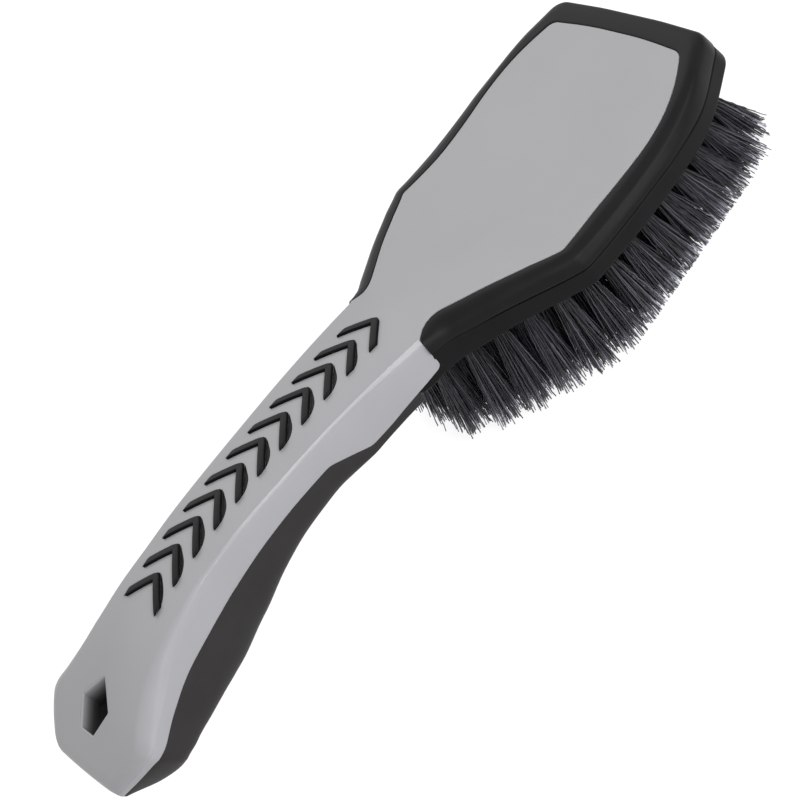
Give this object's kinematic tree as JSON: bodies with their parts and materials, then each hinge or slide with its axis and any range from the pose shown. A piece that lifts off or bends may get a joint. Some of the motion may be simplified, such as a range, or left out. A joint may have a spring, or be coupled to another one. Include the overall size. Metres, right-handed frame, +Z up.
{
  "type": "tire brush",
  "caption": "Hand brush for scrubbing tires: paddle-shaped head with dense stiff bristles on a curved two-tone handle with chevron grip ribs and a hang hole.",
  "frame": {"origin": "centre of the bounding box, at the level of the bristle tips", "axes": "+X along the brush toward the tip of the head, +Y across, +Z up, away from the bristle tips, out of the flat grey panel"},
  "size_m": [0.275, 0.0941, 0.0582],
  "materials": {
    "grey_plastic": "satin light grey moulded polypropylene",
    "rubber": "matt black moulded rubber",
    "block_plastic": "satin black moulded polypropylene",
    "bristle_nylon": "black crimped bristle"
  },
  "bodies": {
    "root": {"core": "grey_plastic", "grip": "rubber", "rim": "rubber", "block": "block_plastic", "rib_01": "rubber", "rib_02": "rubber", "rib_03": "rubber", "rib_04": "rubber", "rib_05": "rubber", "rib_06": "rubber", "rib_07": "rubber", "rib_08": "rubber", "rib_09": "rubber", "rib_10": "rubber", "rib_11": "rubber", "bristles_01": "bristle_nylon", "bristles_02": "bristle_nylon", "bristles_03": "bristle_nylon", "bristles_04": "bristle_nylon", "bristles_05": "bristle_nylon", "bristles_06": "bristle_nylon", "bristles_07": "bristle_nylon", "bristles_08": "bristle_nylon", "bristles_09": "bristle_nylon", "bristles_10": "bristle_nylon", "bristles_11": "bristle_nylon", "bristles_12": "bristle_nylon", "bristles_13": "bristle_nylon", "bristles_14": "bristle_nylon"}
  },
  "joints": []
}
